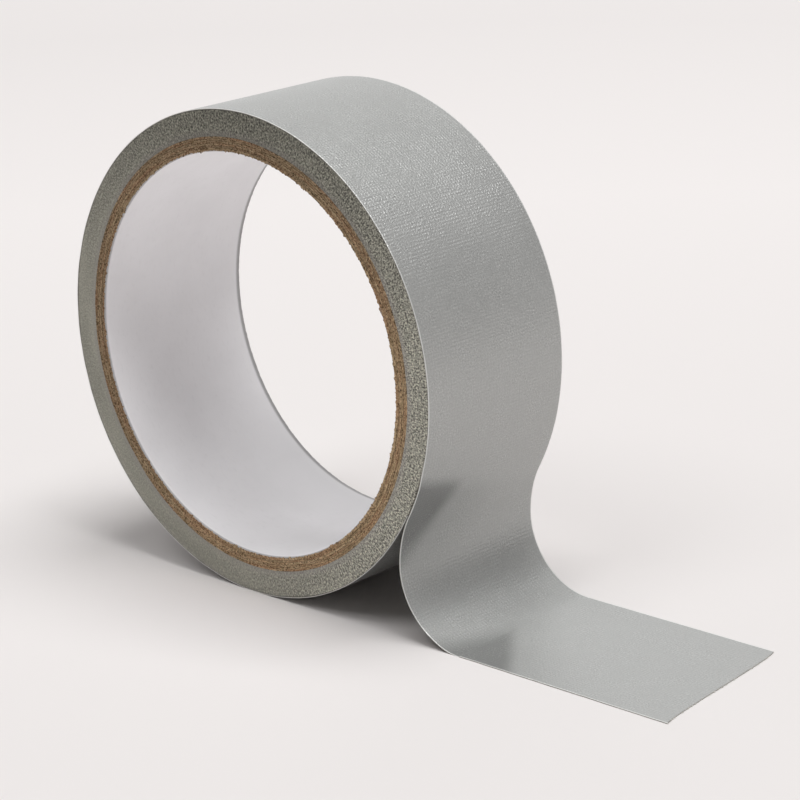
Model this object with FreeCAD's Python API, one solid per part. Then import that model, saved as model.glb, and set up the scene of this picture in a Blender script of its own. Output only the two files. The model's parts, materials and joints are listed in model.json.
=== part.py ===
import FreeCAD, Part
import math
import os

# A roll of duct tape that stands on its rim. The free end of the tape has been
# peeled off, hangs down beside the roll and lies flat on the floor.
# Millimetres. The origin is the middle of the core's bore, +Y runs along the
# bore, +Z is up and the floor is one roll radius below the origin.

# Core
tape_width = 36.0
bore_radius = 38.1
liner_thickness = 0.37
ply_thickness = 0.42
ply_count = 6

# Tape
backing_thickness = 0.07
scrim_thickness = 0.06
adhesive_thickness = 0.09
wound_turns = 22
turning_clearance = 0.08

# Free end of the tape
peel_angle = -29.0
wrap_gap_angle = 6.0
curl_radius = 20.0
tail_reach_front = 98.0
tail_reach_rear = 93.5
crease_gap = 0.1

# Sizes that follow
tape_thickness = backing_thickness + scrim_thickness + adhesive_thickness
core_radius = bore_radius + liner_thickness + ply_count * ply_thickness
wound_radius = core_radius + wound_turns * tape_thickness
roll_radius = wound_radius + turning_clearance + tape_thickness
floor_z = -roll_radius
side_y = tape_width / 2.0

# The tail leaves the rim at the peel line, bends away from the roll around
# curl_centre until it hangs straight down, and then bends around
# landing_centre until it lies on the floor.
peel = math.radians(peel_angle)
curl_centre_x = (roll_radius + curl_radius) * math.cos(peel)
curl_centre_z = (roll_radius + curl_radius) * math.sin(peel)
landing_radius = curl_centre_z - floor_z - tape_thickness
landing_x = curl_centre_x - curl_radius + landing_radius

# Each layer of the tape lies between two depths below the tape's outer face.
scrim_depth = backing_thickness
adhesive_depth = backing_thickness + scrim_thickness
LAYERS = {
    "backing": (0.0, scrim_depth),
    "scrim": (scrim_depth, adhesive_depth),
    "adhesive": (adhesive_depth, tape_thickness),
}


def polar(centre_x, centre_z, radius, angle):
    """Return the point on the roll's front side at this radius and angle."""
    x = centre_x + radius * math.cos(angle)
    z = centre_z + radius * math.sin(angle)
    return FreeCAD.Vector(x, -side_y, z)


def arc(centre_x, centre_z, radius, start, end):
    """Return an arc edge on the roll's front side."""
    middle = (start + end) / 2.0
    first = polar(centre_x, centre_z, radius, start)
    second = polar(centre_x, centre_z, radius, middle)
    third = polar(centre_x, centre_z, radius, end)
    return Part.Arc(first, second, third).toShape()


def across_the_width(edges):
    """Close the edges with their own ends and carry the face through the width."""
    face = Part.Face(Part.Wire(edges))
    return face.extrude(FreeCAD.Vector(0.0, tape_width, 0.0))


def ring(inner_radius, outer_radius):
    """Return a closed tube around the bore's axis, as wide as the tape."""
    start = FreeCAD.Vector(0.0, -side_y, 0.0)
    along = FreeCAD.Vector(0.0, 1.0, 0.0)
    outer = Part.makeCylinder(outer_radius, tape_width, start, along)
    inner = Part.makeCylinder(inner_radius, tape_width, start, along)
    return outer.cut(inner)


def wrap_layer(top, bottom):
    """Return one layer of the outermost wrap, open below the peel line."""
    outer = roll_radius - top
    inner = roll_radius - bottom
    start = peel + crease_gap / 2.0 / roll_radius
    end = peel + math.radians(360.0 - wrap_gap_angle)
    edges = [
        arc(0.0, 0.0, outer, start, end),
        Part.makeLine(polar(0.0, 0.0, outer, end), polar(0.0, 0.0, inner, end)),
        arc(0.0, 0.0, inner, end, start),
        Part.makeLine(polar(0.0, 0.0, inner, start), polar(0.0, 0.0, outer, start)),
    ]
    return across_the_width(edges)


def hanging_layer(top, bottom):
    """Return one layer of the tail from the peel line down to the floor."""
    curl = (curl_centre_x, curl_centre_z)
    landing = (landing_x, curl_centre_z)
    leave = peel + math.pi + crease_gap / 2.0 / curl_radius
    upright = math.pi
    touch = 1.5 * math.pi - crease_gap / 2.0 / landing_radius
    corners = [
        polar(*curl, curl_radius + top, leave),
        polar(*curl, curl_radius + bottom, leave),
        polar(*landing, landing_radius + bottom, touch),
        polar(*landing, landing_radius + top, touch),
    ]
    edges = [
        Part.makeLine(corners[0], corners[1]),
        arc(*curl, curl_radius + bottom, leave, upright),
        arc(*landing, landing_radius + bottom, upright, touch),
        Part.makeLine(corners[2], corners[3]),
        arc(*landing, landing_radius + top, touch, upright),
        arc(*curl, curl_radius + top, upright, leave),
    ]
    return across_the_width(edges)


def flat_layer(top, bottom):
    """Return one layer of the stretch on the floor, with its slanting cut end."""
    z = floor_z + tape_thickness - bottom
    start_x = landing_x + crease_gap / 2.0
    outline = [
        FreeCAD.Vector(start_x, -side_y, z),
        FreeCAD.Vector(tail_reach_front, -side_y, z),
        FreeCAD.Vector(tail_reach_rear, side_y, z),
        FreeCAD.Vector(start_x, side_y, z),
        FreeCAD.Vector(start_x, -side_y, z),
    ]
    face = Part.Face(Part.makePolygon(outline))
    return face.extrude(FreeCAD.Vector(0.0, 0.0, bottom - top))


def core_parts():
    """Return the core's paper liner and its paperboard plies."""
    liner_radius = bore_radius + liner_thickness
    parts = {"core_liner": ring(bore_radius, liner_radius)}
    for number in range(ply_count):
        inner = liner_radius + number * ply_thickness
        parts["core_ply_%d" % (number + 1)] = ring(inner, inner + ply_thickness)
    return parts


def tape_parts():
    """Return the wound turns and the three stretches of the outermost turn."""
    parts = {"wound_tape": ring(core_radius, wound_radius)}
    for name, (top, bottom) in LAYERS.items():
        parts["outer_wrap_" + name] = wrap_layer(top, bottom)
        parts["tail_hanging_" + name] = hanging_layer(top, bottom)
        parts["tail_flat_" + name] = flat_layer(top, bottom)
    return parts


os.makedirs("parts", exist_ok=True)
nodes = core_parts()
nodes.update(tape_parts())
for node, shape in nodes.items():
    shape.exportStep("parts/%s.step" % node)
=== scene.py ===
import json
import math

import bpy
import numpy as np
from mathutils import Matrix, Vector


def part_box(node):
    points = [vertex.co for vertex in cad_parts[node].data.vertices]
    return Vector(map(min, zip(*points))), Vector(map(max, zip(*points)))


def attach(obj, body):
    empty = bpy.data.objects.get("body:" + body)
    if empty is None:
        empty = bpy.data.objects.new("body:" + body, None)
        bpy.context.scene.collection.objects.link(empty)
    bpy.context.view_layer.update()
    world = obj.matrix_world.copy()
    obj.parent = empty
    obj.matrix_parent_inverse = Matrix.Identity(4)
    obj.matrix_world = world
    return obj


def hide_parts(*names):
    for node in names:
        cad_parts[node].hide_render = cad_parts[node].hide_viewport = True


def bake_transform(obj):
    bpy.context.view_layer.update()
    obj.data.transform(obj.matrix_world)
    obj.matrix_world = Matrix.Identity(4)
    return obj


bl_info = {
    "name": "Duct tape roll",
    "version": (1, 0, 0),
    "blender": (4, 5, 0),
    "location": "3D View > Sidebar > Tape roll",
    "description": "Builds a roll of silver duct tape on a paperboard core around its CAD frame",
    "category": "Object",
}

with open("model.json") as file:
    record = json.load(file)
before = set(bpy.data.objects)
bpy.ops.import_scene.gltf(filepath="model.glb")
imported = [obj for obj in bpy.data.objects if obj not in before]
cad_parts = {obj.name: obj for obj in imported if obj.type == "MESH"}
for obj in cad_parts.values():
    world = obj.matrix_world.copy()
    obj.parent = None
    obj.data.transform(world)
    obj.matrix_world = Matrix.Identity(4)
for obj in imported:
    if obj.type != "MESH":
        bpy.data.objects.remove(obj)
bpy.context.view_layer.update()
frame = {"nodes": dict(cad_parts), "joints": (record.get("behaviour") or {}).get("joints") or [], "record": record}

# ------------------------------------------------------------------ the frame's sizes, in metres

BORE = next(m for m in frame["record"]["mounts"] if m["name"] == "core_bore")
JOINTS = {joint["name"]: joint for joint in frame["joints"]}
BORE_RADIUS = BORE["dims"]["r_mm"] / 1000.0
SIDE_Y = BORE["dims"]["length_mm"] / 2000.0
PLY_NODES = sorted(name for name in frame["nodes"] if name.startswith("core_ply_"))
LINER_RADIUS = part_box("core_liner")[1].z
CORE_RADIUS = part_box(PLY_NODES[-1])[1].z
WOUND_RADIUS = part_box("wound_tape")[1].z
ROLL_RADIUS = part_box("outer_wrap_backing")[1].z
FLOOR_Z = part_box("tail_flat_adhesive")[0].z
TAPE_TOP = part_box("tail_flat_backing")[1].z
TAPE_THICKNESS = TAPE_TOP - FLOOR_Z
LAYER_DEPTHS = {
    layer: (TAPE_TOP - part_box("tail_flat_" + layer)[1].z, TAPE_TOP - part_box("tail_flat_" + layer)[0].z)
    for layer in ("backing", "scrim", "adhesive")
}
PEEL = Vector(JOINTS["tail_peel"]["pos_m"])
TOUCH = Vector(JOINTS["tail_lift"]["pos_m"])
PEEL_ANGLE = math.atan2(PEEL.z, PEEL.x)
TAIL_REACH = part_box("tail_flat_backing")[1].x

# The tail bends twice: away from the roll until it is upright, and then onto the floor.
UPRIGHT_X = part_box("tail_hanging_backing")[0].x + LAYER_DEPTHS["backing"][1]
CURL_RADIUS = (PEEL.x - UPRIGHT_X) / (1.0 - math.cos(PEEL_ANGLE))
CURL_CENTRE = Vector((UPRIGHT_X + CURL_RADIUS, 0.0, PEEL.z + CURL_RADIUS * math.sin(PEEL_ANGLE)))
LANDING_RADIUS = CURL_CENTRE.z - TAPE_TOP

# Lengths along the tape are measured from the peel line: below zero on the roll, above it on the tail.
WRAP_LENGTH = 2.0 * math.pi * ROLL_RADIUS
UPRIGHT_LENGTH = CURL_RADIUS * abs(PEEL_ANGLE)
FLAT_LENGTH = UPRIGHT_LENGTH + LANDING_RADIUS * math.pi / 2.0
END_LENGTH = FLAT_LENGTH + TAIL_REACH - TOUCH.x
SEAM_LENGTH = -0.0015


# ------------------------------------------------------------------ settings


class StageSettings(bpy.types.PropertyGroup):
    """Where the camera stands and how the studio is lit."""

    azimuth: bpy.props.FloatProperty(
        name="Azimuth", description="Camera's turn to the right of the roll's front",
        default=math.radians(43.59), subtype="ANGLE", unit="ROTATION")
    elevation: bpy.props.FloatProperty(
        name="Elevation", description="Camera's angle above the horizon",
        default=math.radians(17.39), subtype="ANGLE", unit="ROTATION")
    tilt: bpy.props.FloatProperty(
        name="Tilt", description="Camera's turn about its own line of sight",
        default=math.radians(2.01), subtype="ANGLE", unit="ROTATION")
    distance: bpy.props.FloatProperty(
        name="Distance", description="Camera's distance from its target",
        default=0.5252, subtype="DISTANCE", unit="LENGTH")
    lens: bpy.props.FloatProperty(
        name="Lens", description="Camera's focal length in millimetres", default=128.6)
    target: bpy.props.FloatVectorProperty(
        name="Target", description="Point that the camera looks at",
        default=(0.0222, 0.0, -0.0086), subtype="XYZ", unit="LENGTH")
    backdrop: bpy.props.FloatVectorProperty(
        name="Backdrop", description="Colour of the air behind the floor",
        default=(0.87, 0.84, 0.83), min=0.0, max=1.0, subtype="COLOR")
    floor_colour: bpy.props.FloatVectorProperty(
        name="Floor", description="Colour of the floor", default=(0.82, 0.79, 0.78),
        min=0.0, max=1.0, subtype="COLOR")
    key_power: bpy.props.FloatProperty(
        name="Key light", description="Power of the overhead softbox", default=50.0, unit="POWER")
    front_power: bpy.props.FloatProperty(
        name="Front light", description="Power of the softbox in front", default=4.6, unit="POWER")
    panel_power: bpy.props.FloatProperty(
        name="Back panel", description="Power of the white panel behind", default=3.9, unit="POWER")
    fill: bpy.props.FloatProperty(
        name="Fill", description="Strength of the light from all round", default=0.16)


class CoreSettings(bpy.types.PropertyGroup):
    """The paperboard tube."""

    liner_colour: bpy.props.FloatVectorProperty(
        name="Liner", description="Colour of the white liner paper", default=(0.93, 0.92, 0.935),
        min=0.0, max=1.0, subtype="COLOR")
    kraft_light: bpy.props.FloatVectorProperty(
        name="Kraft, light", description="Lighter fibres of the board", default=(0.58, 0.43, 0.265),
        min=0.0, max=1.0, subtype="COLOR")
    kraft_dark: bpy.props.FloatVectorProperty(
        name="Kraft, dark", description="Darker fibres of the board", default=(0.27, 0.18, 0.095),
        min=0.0, max=1.0, subtype="COLOR")
    cut_roughness: bpy.props.FloatProperty(
        name="Cut roughness", description="How ragged the plies' cut edges are",
        default=0.00005, subtype="DISTANCE", unit="LENGTH", precision=5)


class TapeSettings(bpy.types.PropertyGroup):
    """The tape, wound and peeled."""

    film_colour: bpy.props.FloatVectorProperty(
        name="Film", description="Colour of the silver backing film", default=(0.516, 0.523, 0.512),
        min=0.0, max=1.0, subtype="COLOR")
    edge_colour: bpy.props.FloatVectorProperty(
        name="Wound edge", description="Colour of the slit edge of the wound tape",
        default=(0.41, 0.402, 0.340), min=0.0, max=1.0, subtype="COLOR")
    adhesive_colour: bpy.props.FloatVectorProperty(
        name="Adhesive", description="Colour of the adhesive side", default=(0.30, 0.29, 0.26),
        min=0.0, max=1.0, subtype="COLOR")
    scrim_colour: bpy.props.FloatVectorProperty(
        name="Scrim", description="Colour of the cotton scrim", default=(0.66, 0.64, 0.58),
        min=0.0, max=1.0, subtype="COLOR")
    weft_pitch: bpy.props.FloatProperty(
        name="Weft pitch", description="Distance between the scrim's threads across the tape",
        default=0.00066, subtype="DISTANCE", unit="LENGTH", precision=5)
    warp_pitch: bpy.props.FloatProperty(
        name="Warp pitch", description="Distance between the scrim's threads along the tape",
        default=0.00070, subtype="DISTANCE", unit="LENGTH", precision=5)
    turn_thickness: bpy.props.FloatProperty(
        name="Turn", description="Thickness of one turn of the wound tape",
        default=TAPE_THICKNESS, subtype="DISTANCE", unit="LENGTH", precision=5)
    cut_slant: bpy.props.FloatProperty(
        name="Cut slant", description="How much shorter the tape's far edge is than its near edge",
        default=0.0045, subtype="DISTANCE", unit="LENGTH", precision=5)


# ------------------------------------------------------------------ meshes


def grid_quads(rows, columns, close_rows, close_columns):
    """Return each quad's four (row, column) pairs, counted on past a closed edge.

    A quad joins a grid point to its neighbours in the next row and column.
    """
    row, column = np.meshgrid(
        np.arange(rows if close_rows else rows - 1),
        np.arange(columns if close_columns else columns - 1),
        indexing="ij",
    )
    rows_of = np.stack((row, row + 1, row + 1, row), axis=-1).reshape(-1, 4)
    columns_of = np.stack((column, column, column + 1, column + 1), axis=-1).reshape(-1, 4)
    return rows_of, columns_of


def add_mesh(name, points, faces, uv, smooth_angle):
    """Make an object from points, quads and one UV pair per corner, in metres."""
    mesh = bpy.data.meshes.new(name)
    mesh.from_pydata(points.reshape(-1, 3), [], faces)
    layer = mesh.uv_layers.new(name="lengths")
    layer.data.foreach_set("uv", uv.astype(np.float32).ravel())
    mesh.set_sharp_from_angle(angle=smooth_angle)
    mesh.update()
    if mesh.validate():
        raise RuntimeError(name + " has faces that Blender had to mend")
    piece = bpy.data.objects.new(name, mesh)
    bpy.context.scene.collection.objects.link(piece)
    return piece


def add_ring(name, angles, radius, along, lengths, smooth_angle=math.radians(50.0)):
    """Make a closed ring about the bore's axis.

    Each point stands at its angle and radius, and at its distance along the bore.
    radius and along hold a row for each angle and a column for each profile point.
    lengths gives each profile point's second UV value; the first is angle times core radius.
    """
    rows, columns = radius.shape
    x = radius * np.cos(angles)[:, None]
    z = radius * np.sin(angles)[:, None]
    points = np.stack((x, along, z), axis=-1)
    row_of, column_of = grid_quads(rows, columns, True, True)
    faces = (row_of % rows) * columns + column_of % columns
    u = (angles[0] + row_of * 2.0 * math.pi / rows) * CORE_RADIUS
    v = np.append(lengths, lengths[0])[column_of]
    return add_mesh(name, points, faces, np.stack((u, v), axis=-1), smooth_angle)


def add_strip(name, top, bottom, along, across, smooth_angle=math.radians(50.0)):
    """Make a thin closed slab between two grids of points, rows along and columns across.

    The section's loop runs over the top's columns and back over the bottom's. A band of
    quads between the two closes each end.
    """
    rows, columns = top.shape[:2]
    points = np.concatenate((top, bottom[:, ::-1]), axis=1)
    loop = 2 * columns
    row_of, column_of = grid_quads(rows, loop, False, True)
    faces = row_of * loop + column_of % loop
    near = np.arange(columns - 1)
    far = loop - 1 - near
    first = np.stack((near, near + 1, far - 1, far), axis=-1)
    last = first[:, ::-1] + (rows - 1) * loop
    faces = np.concatenate((faces, first, last))
    u = np.concatenate((along, along[:, ::-1]), axis=1).ravel()
    v = np.concatenate((across, across[:, ::-1]), axis=1).ravel()
    uv = np.stack((u[faces], v[faces]), axis=-1)
    return add_mesh(name, points, faces, uv, smooth_angle)


def ripple(position, period, waves, seed):
    """A smooth random curve that repeats after period, about 1 high at its peaks.

    It is a sum of cosines with random phases, one for each whole number of waves.
    """
    random = np.random.default_rng(seed)
    counts = np.asarray(waves, float)
    phases = random.uniform(0.0, 2.0 * math.pi, counts.size)
    angle = 2.0 * math.pi * np.asarray(position)[..., None] * counts / period + phases
    return np.cos(angle).sum(axis=-1) / math.sqrt(2.0 * counts.size)


def smooth_step(value, low, high):
    """0 below low, 1 above high, and a smooth S between them."""
    t = np.clip((value - low) / (high - low), 0.0, 1.0)
    return t * t * (3.0 - 2.0 * t)


# ------------------------------------------------------------------ materials


def new_material(name):
    """Return a new material, its tree and its Principled shader."""
    material = bpy.data.materials.new(name)
    material.use_nodes = True
    return material, material.node_tree, material.node_tree.nodes["Principled BSDF"]


def add_node(tree, kind, values=None, **settings):
    """Add a node, set its properties, and set or link its inputs."""
    node = tree.nodes.new(kind)
    for key, value in settings.items():
        setattr(node, key, value)
    for key, value in (values or {}).items():
        socket = node.inputs[key]
        if isinstance(value, bpy.types.NodeSocket):
            tree.links.new(value, socket)
        else:
            socket.default_value = value
    return node


def lengths_vector(tree, scale=(1.0, 1.0, 1.0), shift=(0.0, 0.0, 0.0)):
    """The piece's own lengths, in metres, scaled for a pattern."""
    source = add_node(tree, "ShaderNodeUVMap", uv_map="lengths")
    values = {"Vector": source.outputs[0], "Scale": scale, "Location": shift}
    return add_node(tree, "ShaderNodeMapping", values).outputs[0]


def noise(tree, vector, scale, detail=3.0, roughness=0.55):
    """Noise from 0 to 1."""
    values = {"Vector": vector, "Scale": scale, "Detail": detail, "Roughness": roughness}
    return add_node(tree, "ShaderNodeTexNoise", values).outputs[0]


def bands(tree, vector, pitch, direction, distortion, detail_scale=1.5):
    """Ridges that repeat every pitch along one direction of the pattern.

    At a scale of 1, the wave texture's ridges stand a tenth of pi apart.
    """
    values = {"Vector": vector, "Scale": math.pi / 10.0 / pitch, "Distortion": distortion,
              "Detail": 2.0, "Detail Scale": detail_scale}
    return add_node(tree, "ShaderNodeTexWave", values, bands_direction=direction).outputs["Fac"]


def spread(tree, value, low, high, to_low=0.0, to_high=1.0):
    """Carry a range of values onto another range, and stop at its ends."""
    values = {0: value, 1: low, 2: high, 3: to_low, 4: to_high}
    return add_node(tree, "ShaderNodeMapRange", values).outputs[0]


def mix_colour(tree, share, first, second, blend_type="MIX"):
    """Mix two colours by a share from 0 to 1."""
    node = add_node(tree, "ShaderNodeMix", {0: share}, data_type="RGBA", blend_type=blend_type)
    for socket, value in ((node.inputs[6], first), (node.inputs[7], second)):
        if isinstance(value, bpy.types.NodeSocket):
            tree.links.new(value, socket)
        else:
            socket.default_value = (*value, 1.0)
    return node.outputs[2]


def tinted(tree, colour, tint):
    """A colour multiplied by a tint."""
    return mix_colour(tree, 1.0, colour, tint, "MULTIPLY")


def cover(tree, colour, *layers):
    """Lay colours over a colour in turn, each by its own share from 0 to 1."""
    for share, over in layers:
        colour = mix_colour(tree, share, colour, over)
    return colour


def calculate(tree, operation, first, second=0.0):
    """One sum on two values."""
    return add_node(tree, "ShaderNodeMath", {0: first, 1: second}, operation=operation).outputs[0]


def times(tree, first, second):
    """The product of two values."""
    return calculate(tree, "MULTIPLY", first, second)


def plus(tree, first, second):
    """The sum of two values."""
    return calculate(tree, "ADD", first, second)


def axes(tree, vector):
    """The three sockets with a vector's x, y and z."""
    return add_node(tree, "ShaderNodeSeparateXYZ", {"Vector": vector}).outputs


def object_place(tree):
    """Where a point is on its piece, in metres."""
    return add_node(tree, "ShaderNodeTexCoord").outputs["Object"]


def add_bump(tree, shader, relief, strength, distance):
    """Let a relief from 0 to about 1 tilt the surface; distance is its height in metres."""
    values = {"Strength": strength, "Distance": distance, "Height": relief}
    tree.links.new(add_node(tree, "ShaderNodeBump", values).outputs[0], shader.inputs["Normal"])


def shade(colour, factor):
    """A colour made lighter or darker."""
    return tuple(channel * factor for channel in colour)


def mottled(tree, share, colour, darker, lighter):
    """A colour that wanders between two shades of itself."""
    return mix_colour(tree, share, shade(colour, darker), shade(colour, lighter))


def film_material(settings):
    """Satin silver film: the scrim prints through as fine ridges, with painted glints and painted specks of shade
    for the pigment's sparkle.

    The slit edges carry a painted highlight, the creases carry painted shade, the hollows
    of the relief are painted a little darker as shade, and handling has smoothed the peeled end.
    """
    material, tree, shader = new_material("silver film")
    lengths = lengths_vector(tree)
    weft = bands(tree, lengths, settings.weft_pitch, "X", 1.4, 1.2)
    warp = bands(tree, lengths, settings.warp_pitch, "Y", 1.4, 1.2)
    cloud = noise(tree, lengths, 45.0)
    patches = noise(tree, lengths, 160.0)
    broken = noise(tree, lengths, 420.0, 2.0)
    threads = noise(tree, lengths_vector(tree, (1.0, 0.60, 1.0)), 2000.0, 2.0, 0.6)
    grain = noise(tree, lengths, 3300.0, 1.0, 0.6)
    knots = times(tree, weft, warp)
    cloth = plus(tree, times(tree, weft, 0.16), times(tree, knots, 0.70))
    cloth = times(tree, cloth, spread(tree, broken, 0.40, 0.60, 0.25, 1.0))
    relief = plus(tree, plus(tree, cloth, threads), times(tree, grain, 1.4))
    along, across = axes(tree, lengths)[:2]
    handled = spread(tree, along, -0.055, -0.025, 1.0, 0.6)
    strength = times(tree, handled, spread(tree, patches, 0.42, 0.62, 0.22, 1.0))
    # Painted glints and painted specks of shade stand in for the pigment's sparkle, weaker where handled.
    painted_glint = times(tree, strength, spread(tree, grain, 0.56, 0.68, 0.0, 0.48))
    painted_speck_shade = times(tree, strength, spread(tree, grain, 0.44, 0.32, 0.0, 0.50))
    colour = mottled(tree, spread(tree, cloud, 0.35, 0.65), settings.film_colour, 0.985, 1.015)
    # Painted shade: the hollows of the relief are a tenth darker.
    shaded_hollows = tinted(tree, colour, (0.90, 0.90, 0.90))
    colour = mix_colour(tree, spread(tree, relief, 1.05, 1.75), shaded_hollows, colour)
    # Painted shade in the creases and on the turn under the tail, from the crease attribute.
    painted_crease_shade = add_node(tree, "ShaderNodeAttribute", attribute_name="crease").outputs["Fac"]
    off_middle = calculate(tree, "ABSOLUTE", across)
    # Painted highlight along the slit edges.
    slit = spread(tree, off_middle, SIDE_Y - 0.00026, SIDE_Y - 0.00008, 0.0, 0.8)
    colour = cover(
        tree, colour,
        (painted_crease_shade, shade(settings.film_colour, 0.50)),
        (painted_glint, shade(settings.film_colour, 1.7)),
        (painted_speck_shade, shade(settings.film_colour, 0.45)),
        (slit, shade(settings.film_colour, 1.85)),
    )
    tree.links.new(colour, shader.inputs["Base Color"])
    tree.links.new(spread(tree, cloud, 0.3, 0.7, 0.34, 0.42), shader.inputs["Roughness"])
    add_bump(tree, shader, relief, handled, 0.00007)
    shader.inputs["Metallic"].default_value = 0.35
    shader.inputs["Specular IOR Level"].default_value = 0.5
    return material


def adhesive_material(settings):
    """Grey rubber adhesive, slightly shiny and uneven where it was spread over the scrim."""
    material, tree, shader = new_material("grey adhesive")
    lengths = lengths_vector(tree)
    weft = bands(tree, lengths, settings.weft_pitch, "X", 1.5)
    warp = bands(tree, lengths, settings.warp_pitch, "Y", 1.5)
    streak = noise(tree, lengths_vector(tree, (0.15, 1.0, 1.0)), 900.0)
    relief = plus(tree, times(tree, plus(tree, weft, warp), 0.4), streak)
    colour = mottled(tree, spread(tree, streak, 0.35, 0.65), settings.adhesive_colour, 0.85, 1.12)
    tree.links.new(colour, shader.inputs["Base Color"])
    tree.links.new(spread(tree, streak, 0.3, 0.7, 0.32, 0.55), shader.inputs["Roughness"])
    add_bump(tree, shader, relief, 0.5, 0.00006)
    shader.inputs["Coat Weight"].default_value = 0.15
    shader.inputs["Coat Roughness"].default_value = 0.3
    return material


def scrim_material(settings):
    """Cotton cloth: pale threads with darker gaps between them."""
    material, tree, shader = new_material("cotton scrim")
    lengths = lengths_vector(tree)
    weft = bands(tree, lengths, settings.weft_pitch, "X", 0.6)
    warp = bands(tree, lengths, settings.warp_pitch, "Y", 0.6)
    threads = calculate(tree, "MAXIMUM", weft, warp)
    colour = mix_colour(tree, threads, shade(settings.scrim_colour, 0.45), settings.scrim_colour)
    tree.links.new(colour, shader.inputs["Base Color"])
    add_bump(tree, shader, threads, 0.8, 0.00005)
    shader.inputs["Roughness"].default_value = 0.85
    shader.inputs["Sheen Weight"].default_value = 0.2
    return material


def wound_edge_material(settings):
    """Slit edge of the wound tape: a speckle of film, thread and adhesive with fine cross cuts.

    The second length is the distance from the bore's axis on this piece. The blade left the
    low x and low z side smoother than the rest, and painted shade darkens the top slightly.
    """
    material, tree, shader = new_material("wound tape edge")
    lengths = lengths_vector(tree)
    side, _, high = axes(tree, object_place(tree))
    rough = spread(tree, plus(tree, side, times(tree, high, 0.6)), -0.040, 0.010, 0.20, 1.0)
    speckle = noise(tree, lengths_vector(tree, (1.0, 0.7, 1.0)), 3300.0, 1.0, 0.7)
    blade = noise(tree, lengths_vector(tree, (1.0, 0.15, 1.0)), 2400.0, 2.0)
    cloud = noise(tree, lengths_vector(tree, (0.25, 1.0, 1.0)), 300.0)
    turns = bands(tree, lengths, settings.turn_thickness, "Y", 0.8)
    distance = axes(tree, lengths)[1]
    outward = spread(tree, distance, CORE_RADIUS + 0.0008, CORE_RADIUS + 0.0018)
    base = mottled(tree, spread(tree, cloud, 0.35, 0.65), settings.edge_colour, 0.90, 1.12)
    light = times(tree, rough, spread(tree, speckle, 0.53, 0.63, 0.0, 0.82))
    dark = times(tree, rough, spread(tree, speckle, 0.48, 0.37, 0.0, 0.84))
    cut = times(tree, rough, spread(tree, blade, 0.52, 0.66, 0.0, 0.45))
    first_turns = spread(tree, distance, CORE_RADIUS + 0.0003, CORE_RADIUS + 0.0014, 0.5, 0.0)
    base = cover(
        tree, base,
        (times(tree, outward, 0.15), shade(settings.edge_colour, 0.6)),
        (light, shade(settings.edge_colour, 2.3)),
        (dark, shade(settings.edge_colour, 0.14)),
        (cut, shade(settings.edge_colour, 1.8)),
        (first_turns, (0.40, 0.37, 0.35)),
    )
    # Painted shade: the top is darker.
    painted_shade_colour = tinted(tree, base, (0.44, 0.44, 0.42))
    base = mix_colour(tree, spread(tree, high, 0.008, 0.046), base, painted_shade_colour)
    tree.links.new(base, shader.inputs["Base Color"])
    relief = plus(tree, plus(tree, speckle, blade), times(tree, turns, 0.35))
    add_bump(tree, shader, relief, 0.9, 0.00016)
    shader.inputs["Roughness"].default_value = 0.6
    return material


PLY_TONES = (1.02, 0.84, 1.10, 0.92, 1.06, 0.80)
PLY_THICKNESS = (CORE_RADIUS - LINER_RADIUS) / len(PLY_NODES)


def ply_noise(tree, number, stretch, step, scale, detail, roughness=0.55):
    """Noise scaled along the ply by stretch, and moved on by a step for each ply's number."""
    vector = lengths_vector(tree, (stretch, 1.0, 1.0), (number * step, 0.0, 0.0))
    return noise(tree, vector, scale, detail, roughness)


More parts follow.
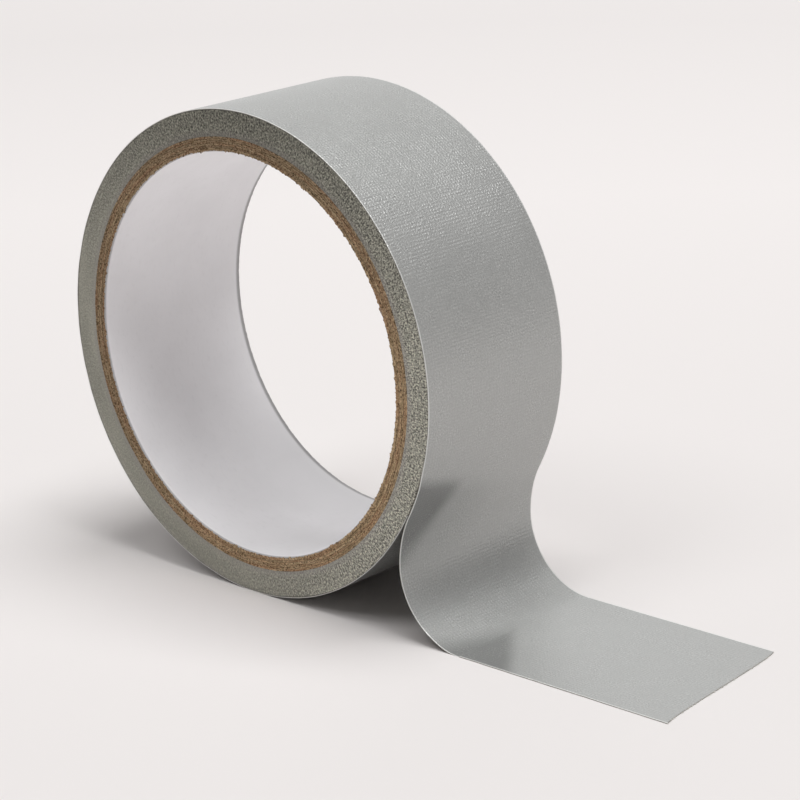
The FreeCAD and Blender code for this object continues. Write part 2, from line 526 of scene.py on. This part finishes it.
def kraft_material(settings, number):
    """Brown kraft board, cut through: fibres run round the core, and no two plies match.

    The second length is the distance from the bore's axis. Glue darkens each ply's two sides.
    """
    material, tree, shader = new_material("kraft ply %d" % number)
    lengths = lengths_vector(tree)
    streaks = ply_noise(tree, number, 0.14, 0.31, 2600.0, 4.0, 0.65)
    lumps = ply_noise(tree, number, 0.55, 0.17, 1500.0, 4.0, 0.75)
    patches = ply_noise(tree, number, 1.0, 0.57, 95.0, 3.0)
    specks = ply_noise(tree, number, 0.8, 0.41, 2900.0, 1.0, 0.7)
    tone = PLY_TONES[(number - 1) % len(PLY_TONES)]
    colour = mix_colour(tree, spread(tree, streaks, 0.36, 0.60, 0.10, 1.0),
                        shade(settings.kraft_dark, tone), shade(settings.kraft_light, tone))
    colour = cover(
        tree, colour,
        (spread(tree, patches, 0.46, 0.60, 0.0, 0.6), (0.46, 0.26, 0.15)),
        (spread(tree, lumps, 0.55, 0.68, 0.0, 0.7), shade(settings.kraft_light, 1.45)),
        (spread(tree, lumps, 0.43, 0.34, 0.0, 0.8), shade(settings.kraft_dark, 0.25)),
        (spread(tree, specks, 0.45, 0.34, 0.0, 0.85), shade(settings.kraft_dark, 0.25)),
        (spread(tree, specks, 0.55, 0.66, 0.0, 0.7), shade(settings.kraft_light, 1.4)),
    )
    distance = axes(tree, lengths)[1]
    middle = LINER_RADIUS + (number - 0.5) * PLY_THICKNESS
    off_middle = calculate(tree, "ABSOLUTE", calculate(tree, "SUBTRACT", distance, middle))
    glued = spread(tree, off_middle, PLY_THICKNESS * 0.36, PLY_THICKNESS * 0.5, 0.0, 0.45)
    glued = times(tree, glued, spread(tree, patches, 0.35, 0.60, 1.0, 0.3))
    colour = mix_colour(tree, glued, colour, shade(settings.kraft_dark, 0.5))
    # Painted shade: the top and the low x side are darker.
    side, _, high = axes(tree, object_place(tree))
    top = spread(tree, high, 0.0, 0.036)
    left = spread(tree, side, -0.012, -0.036, 0.0, 0.9)
    painted_shade_colour = tinted(tree, colour, (0.66, 0.66, 0.67))
    colour = mix_colour(tree, calculate(tree, "MAXIMUM", top, left), colour, painted_shade_colour)
    tree.links.new(colour, shader.inputs["Base Color"])
    add_bump(tree, shader, plus(tree, streaks, lumps), 0.9, 0.00018)
    shader.inputs["Roughness"].default_value = 0.9
    shader.inputs["Specular IOR Level"].default_value = 0.2
    return material


def liner_material(settings):
    """Smooth white liner paper with faint fibres.

    Painted shade greys it low down towards the back, and a painted grey line of shade runs along its edges.
    """
    material, tree, shader = new_material("white liner paper")
    lengths = lengths_vector(tree)
    fibres = noise(tree, lengths_vector(tree, (0.4, 1.0, 1.0)), 1500.0, 4.0)
    cloud = noise(tree, lengths, 60.0)
    _, depth, high = axes(tree, object_place(tree))
    # Painted shade: greyer low down towards the back.
    painted_low_shade = times(tree, spread(tree, depth, 0.0, 0.015), spread(tree, high, -0.020, -0.032))
    along = axes(tree, lengths)[1]
    # Painted shade: a grey line along the front and rear rims.
    rear = spread(tree, along, SIDE_Y - 0.0013, SIDE_Y - 0.0008, 0.0, 0.72)
    front = spread(tree, along, 0.00045 - SIDE_Y, 0.0002 - SIDE_Y, 0.0, 0.6)
    painted_rim_shade = calculate(tree, "MAXIMUM", rear, front)
    colour = cover(
        tree, mottled(tree, spread(tree, cloud, 0.3, 0.7), settings.liner_colour, 0.96, 1.03),
        (spread(tree, fibres, 0.30, 0.45, 0.25, 0.0), shade(settings.liner_colour, 0.85)),
        (painted_low_shade, shade(settings.liner_colour, 0.77)),
        (painted_rim_shade, (0.20, 0.19, 0.19)),
    )
    tree.links.new(colour, shader.inputs["Base Color"])
    add_bump(tree, shader, fibres, 0.25, 0.00004)
    shader.inputs["Roughness"].default_value = 0.6
    return material


# ------------------------------------------------------------------ the core


def ring_angles(count):
    """Angles evenly round the bore, from the peel line on."""
    return PEEL_ANGLE + np.arange(count) * 2.0 * math.pi / count


def section_loop(inner, outer, face_points):
    """Radii and sides of a ring's section: in along the front, out along the back.

    The side is -1 on the front face and +1 on the back face. One point stands just behind
    the front face's inner corner, so that a torn corner stays short.
    """
    share = np.linspace(0.0, 1.0, face_points)
    radii = np.concatenate((outer + (inner - outer) * share, [inner], inner + (outer - inner) * share))
    sides = np.concatenate((-np.ones(face_points), [-1.0 + 0.0005 / SIDE_Y], np.ones(face_points)))
    return radii, sides


LINER_STEPS = 720
PLY_STEPS = 1000
FACE_POINTS = 6
LIP_WIDTH = 0.0006
LIP_RISE = 0.00022


class ROLL_OT_core_liner(bpy.types.Operator):
    """Make the white paper liner of the bore"""

    bl_idname = "roll.core_liner"
    bl_label = "Core liner"

    def execute(self, context):
        settings = context.scene.core_settings
        angles = ring_angles(LINER_STEPS)
        across = np.linspace(SIDE_Y, -SIDE_Y, 61)
        lips = smooth_step(np.abs(across), SIDE_Y - LIP_WIDTH, SIDE_Y) ** 2 * LIP_RISE
        sag = 0.00003 * ripple(angles, 2.0 * math.pi, range(3, 14), 11)[:, None]
        inner = BORE_RADIUS + lips[None, :] + sag * np.cos(across / SIDE_Y * 1.5)[None, :]
        outer = np.full((angles.size, 2), LINER_RADIUS)
        radius = np.concatenate((outer, inner), axis=1)
        torn = settings.cut_roughness * ripple(angles, 2.0 * math.pi, range(20, 260, 7), 12)
        sides = np.concatenate(([-SIDE_Y, SIDE_Y], across))
        edge = np.abs(sides) > SIDE_Y - 0.00001
        along = sides[None, :] - np.sign(sides)[None, :] * edge[None, :] * (0.00006 + torn[:, None])
        piece = add_ring("liner_paper", angles, radius, along, sides)
        piece.data.materials.append(liner_material(settings))
        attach(piece, "roll")
        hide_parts("core_liner")
        return {"FINISHED"}


class ROLL_OT_core_plies(bpy.types.Operator):
    """Make the kraft plies, each with a ragged cut edge of its own"""

    bl_idname = "roll.core_plies"
    bl_label = "Core plies"

    def execute(self, context):
        settings = context.scene.core_settings
        angles = ring_angles(PLY_STEPS)
        for index, node in enumerate(PLY_NODES):
            random = np.random.default_rng(40 + index)
            inner = LINER_RADIUS + index * PLY_THICKNESS
            radii, sides = section_loop(inner, inner + PLY_THICKNESS, FACE_POINTS)
            middle = 1.0 - np.abs((radii - inner) / PLY_THICKNESS * 2.0 - 1.0) ** 3
            recess = 0.00012 + 0.00006 * math.sin(2.1 * index)
            wander = ripple(angles, 2.0 * math.pi, range(2, 40, 3), 50 + index)
            fray = ripple(angles, 2.0 * math.pi, range(60, 420, 11), 60 + index)
            fibres = random.normal(0.0, 1.0, (angles.size, radii.size))
            depth = recess + 0.00006 * wander[:, None] - 0.00010 * middle[None, :]
            depth = depth + settings.cut_roughness * (0.7 * fray[:, None] + 0.5 * fibres)
            depth = np.maximum(depth, 0.0)
            along = sides[None, :] * (SIDE_Y - depth)
            radius = radii[None, :] + 0.4 * settings.cut_roughness * fray[:, None] * middle[None, :]
            if index == 0:
                lip = ((radii < inner + 0.3 * PLY_THICKNESS) & (sides == -1.0))[None, :]
                torn = np.abs(ripple(angles, 2.0 * math.pi, range(30, 330, 9), 77))[:, None]
                radius = radius - lip * 0.00030 * torn
                along = np.where(lip, sides[None, :] * (SIDE_Y + 0.00002), along)
            piece = add_ring("kraft_ply_%d" % (index + 1), angles, radius, along, radii)
            piece.data.materials.append(kraft_material(settings, index + 1))
            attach(piece, "roll")
            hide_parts(node)
        return {"FINISHED"}


# ------------------------------------------------------------------ the tape


WOUND_STEPS = 900
WRAP_POINTS = 81
TAIL_POINTS = 121
FINE_STEP = 0.0003
LAYER_INSETS = {"backing": 0.0, "scrim": 0.00002, "adhesive": 0.00004}
LAYER_MATERIALS = {
    "backing": ("silver film", film_material),
    "scrim": ("cotton scrim", scrim_material),
    "adhesive": ("grey adhesive", adhesive_material),
}


class ROLL_OT_wound_tape(bpy.types.Operator):
    """Make the wound turns, with each turn's slit edge on both sides of the roll"""

    bl_idname = "roll.wound_tape"
    bl_label = "Wound tape"

    def execute(self, context):
        settings = context.scene.tape_settings
        angles = ring_angles(WOUND_STEPS)
        turns = round((WOUND_RADIUS - CORE_RADIUS) / settings.turn_thickness)
        radii, sides = section_loop(CORE_RADIUS, WOUND_RADIUS, 2 * turns + 1)
        turn = np.clip(((radii - CORE_RADIUS) / settings.turn_thickness).astype(int), 0, turns - 1)
        offsets = np.random.default_rng(5).uniform(0.0, 1.0, (2, turns))
        step = np.where(sides < 0.0, offsets[0][turn], offsets[1][turn])
        groove = np.arange(radii.size) % 2
        wander = np.stack([ripple(angles, 2.0 * math.pi, range(1, 12), 90 + k) for k in range(turns)])
        slit = np.random.default_rng(6).normal(0.0, 1.0, (angles.size, radii.size))
        depth = 0.00003 + 0.00005 * step[None, :] + 0.00003 * groove[None, :]
        depth = depth + 0.00002 * wander[turn].T + 0.000012 * slit
        along = sides[None, :] * (SIDE_Y - np.maximum(depth, 0.0))
        radius = np.broadcast_to(radii, along.shape)
        piece = add_ring("wound_turns", angles, radius, along, radii, math.radians(80.0))
        piece.data.materials.append(wound_edge_material(settings))
        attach(piece, "roll")
        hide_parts("wound_tape")
        return {"FINISHED"}


def tape_line(length):
    """Return x, z and the outward normal of the tape's outer face at each length.

    On the roll it follows the rim. Past the peel line it follows an arc around the curl's
    centre, an arc around the landing's centre, and then the floor. Where the turn begins
    it lies one thickness lower, and it climbs onto the turn below within an eighth turn.
    """
    climb = smooth_step(length, -WRAP_LENGTH, -WRAP_LENGTH * 0.875)
    rim = ROLL_RADIUS - TAPE_THICKNESS * (1.0 - climb)
    on_rim = PEEL_ANGLE - length / ROLL_RADIUS
    on_curl = PEEL_ANGLE + math.pi + length / CURL_RADIUS
    on_landing = math.pi + (length - UPRIGHT_LENGTH) / LANDING_RADIUS
    landing_x = UPRIGHT_X + LANDING_RADIUS
    parts = [length < 0.0, length < UPRIGHT_LENGTH, length < FLAT_LENGTH]
    x = np.select(parts, [
        rim * np.cos(on_rim),
        CURL_CENTRE.x + CURL_RADIUS * np.cos(on_curl),
        landing_x + LANDING_RADIUS * np.cos(on_landing),
    ], landing_x + length - FLAT_LENGTH)
    z = np.select(parts, [
        rim * np.sin(on_rim),
        CURL_CENTRE.z + CURL_RADIUS * np.sin(on_curl),
        CURL_CENTRE.z + LANDING_RADIUS * np.sin(on_landing),
    ], TAPE_TOP)
    normal_x = np.select(parts, [np.cos(on_rim), -np.cos(on_curl), -np.cos(on_landing)], 0.0)
    normal_z = np.select(parts, [np.sin(on_rim), -np.sin(on_curl), -np.sin(on_landing)], 1.0)
    return x, z, normal_x, normal_z


# Each crease's outline: (length along the tape, place across it), from near edge to near edge.
CREASES = {
    "peel": ((-0.0084, -0.0182), (-0.0045, -0.0054), (0.0042, -0.0092), (0.0108, -0.0182)),
    "landing": ((0.0236, -0.0182), (0.0274, 0.0026), (0.0442, -0.0182)),
}
CREASE_SOFTNESS = {"peel": (0.0028, 0.0040, 0.0045), "landing": (0.0026, 0.0026)}


def crease_share(name, length, across):
    """0 outside a crease's outline, rising to 1 inside it.

    The outline is a chain of corners from near edge to near edge. The share is the product of
    one smooth step for each side, over that side's softness.
    """
    share = np.ones(np.shape(length))
    corners = CREASES[name]
    for first, second, soft in zip(corners[:-1], corners[1:], CREASE_SOFTNESS[name]):
        along, over = second[0] - first[0], second[1] - first[1]
        inside = ((length - first[0]) * over - (across - first[1]) * along) / math.hypot(along, over)
        share = share * smooth_step(inside, -0.5 * soft, 0.8 * soft)
    return share


def tape_relief(length, across):
    """How far the tape stands off its smooth line: slow waves and two soft creases."""
    wave = 0.00002 * ripple(length, 0.29, range(5, 16), 21) * np.cos(across / SIDE_Y * 2.0)
    lift = 0.00016 * crease_share("peel", length, across) * smooth_step(-across, 0.007, SIDE_Y)
    press = 0.00018 * crease_share("landing", length, across) * smooth_step(length, 0.024, 0.030)
    return wave + lift - press * (length < FLAT_LENGTH)


def crease_shade(length, across):
    """How much painted shade each point gets: fully in the peel's crease, fading in the landing's.

    The stretch of the turn below that the peeled tape has just uncovered gets painted shade too, under the tail.
    """
    landing = crease_share("landing", length, across)
    landing = landing * smooth_step(length - across * 0.3, 0.0285, 0.0360)
    uncovered = 1.0 - smooth_step(length, -WRAP_LENGTH + 0.022, -WRAP_LENGTH + 0.036)
    shares = 0.95 * crease_share("peel", length, across) + 0.85 * landing + uncovered
    return np.clip(shares, 0.0, 1.0)


def tape_points(length, across, depth):
    """Points at this depth below the tape's outer face."""
    x, z, normal_x, normal_z = tape_line(length)
    off = tape_relief(length, across) - depth
    return np.stack((x + normal_x * off, across, z + normal_z * off), axis=-1)


def layer_material(layer, settings):
    """The layer's material, made once."""
    name, make = LAYER_MATERIALS[layer]
    return bpy.data.materials.get(name) or make(settings)


def add_tape_layer(name, layer, lengths, settings):
    """Make one layer of a stretch of tape. lengths holds a row for each step along it."""
    top, bottom = LAYER_DEPTHS[layer]
    share = np.linspace(-1.0, 1.0, lengths.shape[1])
    spaced = 0.25 * share + 0.75 * np.sin(share * math.pi / 2.0)
    across = np.broadcast_to(spaced * (SIDE_Y - LAYER_INSETS[layer]), lengths.shape)
    wobble = 0.00003 * ripple(lengths[:, :1], 0.29, range(7, 60, 4), 31)
    across = across + wobble * across / SIDE_Y
    rounded = 0.00002 * (layer == "backing") * smooth_step(np.abs(across), SIDE_Y - 0.00035, SIDE_Y)
    upper = tape_points(lengths, across, top + rounded)
    lower = tape_points(lengths, across, bottom)
    piece = add_strip(name, upper, lower, lengths, across)
    # The crease attribute holds each point's share of painted shade.
    painted_crease_shade = crease_shade(lengths, across)
    attribute = piece.data.attributes.new("crease", "FLOAT", "POINT")
    both_faces = np.concatenate((painted_crease_shade, painted_crease_shade[:, ::-1]), axis=1)
    attribute.data.foreach_set("value", both_faces.astype(np.float32).ravel())
    piece.data.materials.append(layer_material(layer, settings))
    return piece


def even_lengths(start, end, step, width_points):
    """Lengths from start to end, the same right across the tape."""
    rows = np.linspace(start, end, max(2, round((end - start) / step) + 1))
    return np.repeat(rows[:, None], width_points, axis=1)


class ROLL_OT_outer_wrap(bpy.types.Operator):
    """Make the outermost turn in its three layers"""

    bl_idname = "roll.outer_wrap"
    bl_label = "Outer wrap"

    def execute(self, context):
        settings = context.scene.tape_settings
        fine = -0.010
        plain = even_lengths(-WRAP_LENGTH, fine, 0.001, WRAP_POINTS)
        close = even_lengths(fine, SEAM_LENGTH, FINE_STEP, WRAP_POINTS)
        lengths = np.concatenate((plain, close[1:]))
        for layer in LAYER_DEPTHS:
            piece = add_tape_layer("wrap_" + layer, layer, lengths, settings)
            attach(piece, "outer_wrap")
            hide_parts("outer_wrap_" + layer)
        return {"FINISHED"}


class ROLL_OT_tail_peel(bpy.types.Operator):
    """Make the tail from the peel line down to where it hangs upright"""

    bl_idname = "roll.tail_peel"
    bl_label = "Tail at the peel line"

    def execute(self, context):
        settings = context.scene.tape_settings
        lengths = even_lengths(SEAM_LENGTH, UPRIGHT_LENGTH, FINE_STEP, TAIL_POINTS)
        for layer in LAYER_DEPTHS:
            piece = add_tape_layer("peel_" + layer, layer, lengths, settings)
            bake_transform(piece)
            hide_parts("tail_hanging_" + layer)
        return {"FINISHED"}


class ROLL_OT_tail_end(bpy.types.Operator):
    """Make the tail from where it hangs upright to its cut end on the floor"""

    bl_idname = "roll.tail_end"
    bl_label = "Tail on the floor"

    def execute(self, context):
        settings = context.scene.tape_settings
        landing = even_lengths(UPRIGHT_LENGTH, FLAT_LENGTH, 0.0004, TAIL_POINTS)
        across = np.linspace(0.0, 1.0, TAIL_POINTS)
        cut = END_LENGTH - settings.cut_slant * across
        cut = cut - 0.00006 * np.abs(ripple(across, 1.0, range(9, 70, 5), 71))
        threads = np.random.default_rng(72).uniform(0.0, 0.00028, TAIL_POINTS)
        threads = threads * (np.arange(TAIL_POINTS) % 3 == 0)
        share = np.linspace(0.0, 1.0, 120)[1:, None]
        for layer in LAYER_DEPTHS:
            end = cut + threads if layer == "scrim" else cut
            flat = FLAT_LENGTH + share * (end[None, :] - FLAT_LENGTH)
            lengths = np.concatenate((landing, flat))
            piece = add_tape_layer("tail_" + layer, layer, lengths, settings)
            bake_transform(piece)
            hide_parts("tail_flat_" + layer)
        return {"FINISHED"}


# ------------------------------------------------------------------ the stage


FLOOR_HALF = 4.0
PALER_BEHIND = 0.30
GLOW_FROM, GLOW_TO, GLOW = 0.6, 3.0, 0.75
SOFTBOXES = (
    ("overhead softbox", (0.55, 0.15, 2.35), 1.6, "key_power"),
    ("front softbox", (-0.15, -0.80, 1.35), 0.7, "front_power"),
    ("back panel", (-1.15, 1.20, 0.55), 1.3, "panel_power"),
)


def add_floor(settings):
    """A plain square floor, a little paler behind the roll.

    Far from the roll, where the softboxes don't reach, it glows like the backdrop.
    """
    level = FLOOR_Z - 0.00001
    mesh = bpy.data.meshes.new("floor")
    corners = [(x * FLOOR_HALF, y * FLOOR_HALF, level) for x, y in ((-1, -1), (1, -1), (1, 1), (-1, 1))]
    mesh.from_pydata(corners, [], [(0, 1, 2, 3)])
    floor = bpy.data.objects.new("floor", mesh)
    bpy.context.scene.collection.objects.link(floor)
    material, tree, shader = new_material("pale floor")
    place = object_place(tree)
    values = {"Vector": place, "Rotation": (0.0, 0.0, -settings.azimuth)}
    turned = add_node(tree, "ShaderNodeMapping", values).outputs[0]
    behind = axes(tree, turned)[1]
    colour = mix_colour(tree, spread(tree, behind, 0.0, PALER_BEHIND), settings.floor_colour,
                        shade(settings.floor_colour, 1.12))
    tree.links.new(colour, shader.inputs["Base Color"])
    away = add_node(tree, "ShaderNodeVectorMath", {0: place}, operation="LENGTH").outputs["Value"]
    tree.links.new(spread(tree, away, GLOW_FROM, GLOW_TO, 0.0, GLOW), shader.inputs["Emission Strength"])
    shader.inputs["Emission Color"].default_value = (*settings.backdrop, 1.0)
    shader.inputs["Roughness"].default_value = 0.9
    shader.inputs["Specular IOR Level"].default_value = 0.1
    mesh.materials.append(material)


def add_camera(settings):
    """A camera on a sphere about its target, tilted about its line of sight."""
    turn, rise = settings.azimuth, settings.elevation
    back = Vector((math.sin(turn) * math.cos(rise), -math.cos(turn) * math.cos(rise), math.sin(rise)))
    right = Vector((0.0, 0.0, 1.0)).cross(back).normalized()
    up = back.cross(right)
    tilted_right = right * math.cos(settings.tilt) - up * math.sin(settings.tilt)
    tilted_up = up * math.cos(settings.tilt) + right * math.sin(settings.tilt)
    place = Vector(settings.target) + back * settings.distance
    data = bpy.data.cameras.new("camera")
    data.lens = settings.lens
    data.sensor_width = 36.0
    data.clip_start = 0.01
    camera = bpy.data.objects.new("camera", data)
    turned = Matrix((tilted_right, tilted_up, back)).transposed().to_4x4()
    camera.matrix_world = Matrix.Translation(place) @ turned
    bpy.context.scene.collection.objects.link(camera)
    bpy.context.scene.camera = camera


def add_softbox(name, place, size, power, aim=(0.0, 0.0, 0.0)):
    """A square area light at a place, turned to its aim."""
    data = bpy.data.lights.new(name, "AREA")
    data.size = size
    data.energy = power
    light = bpy.data.objects.new(name, data)
    direction = Vector(aim) - Vector(place)
    turn = direction.to_track_quat("-Z", "Y").to_matrix().to_4x4()
    light.matrix_world = Matrix.Translation(place) @ turn
    bpy.context.scene.collection.objects.link(light)


def add_air(settings):
    """An even pale backdrop, dimmer as a light than as it looks."""
    world = bpy.data.worlds.new("studio")
    world.use_nodes = True
    tree = world.node_tree
    background = tree.nodes["Background"]
    background.inputs["Color"].default_value = (*settings.backdrop, 1.0)
    seen = add_node(tree, "ShaderNodeLightPath").outputs["Is Camera Ray"]
    strength = spread(tree, seen, 0.0, 1.0, settings.fill, 1.0)
    tree.links.new(strength, background.inputs["Strength"])
    bpy.context.scene.world = world


class ROLL_OT_stage(bpy.types.Operator):
    """Make the floor, the studio light and the camera"""

    bl_idname = "roll.stage"
    bl_label = "Stage"

    def execute(self, context):
        settings = context.scene.stage_settings
        context.scene.view_settings.view_transform = "Standard"
        add_floor(settings)
        add_camera(settings)
        add_air(settings)
        for name, place, size, power in SOFTBOXES:
            add_softbox(name, place, size, getattr(settings, power))
        return {"FINISHED"}


class ROLL_PT_pieces(bpy.types.Panel):
    """List the roll's pieces in the order in which they are made"""

    bl_idname = "ROLL_PT_pieces"
    bl_label = "Tape roll"
    bl_space_type = "VIEW_3D"
    bl_region_type = "UI"
    bl_category = "Tape roll"

    def draw(self, context):
        for operator in OPERATORS:
            self.layout.operator(operator.bl_idname)


SETTINGS = {
    "stage_settings": StageSettings,
    "core_settings": CoreSettings,
    "tape_settings": TapeSettings,
}
OPERATORS = (
    ROLL_OT_stage,
    ROLL_OT_core_liner,
    ROLL_OT_core_plies,
    ROLL_OT_wound_tape,
    ROLL_OT_outer_wrap,
    ROLL_OT_tail_peel,
    ROLL_OT_tail_end,
)


def register():
    for settings in SETTINGS.values():
        bpy.utils.register_class(settings)
    for name, settings in SETTINGS.items():
        setattr(bpy.types.Scene, name, bpy.props.PointerProperty(type=settings))
    for shown in (*OPERATORS, ROLL_PT_pieces):
        bpy.utils.register_class(shown)


def unregister():
    for shown in (ROLL_PT_pieces, *reversed(OPERATORS)):
        bpy.utils.unregister_class(shown)
    for name in SETTINGS:
        delattr(bpy.types.Scene, name)
    for settings in reversed(tuple(SETTINGS.values())):
        bpy.utils.unregister_class(settings)


def main():
    """Make everything in order."""
    register()
    bpy.ops.roll.stage()
    bpy.ops.roll.core_liner()
    bpy.ops.roll.core_plies()
    bpy.ops.roll.wound_tape()
    bpy.ops.roll.outer_wrap()
    bpy.ops.roll.tail_peel()
    bpy.ops.roll.tail_end()


if __name__ == "__main__":
    main()
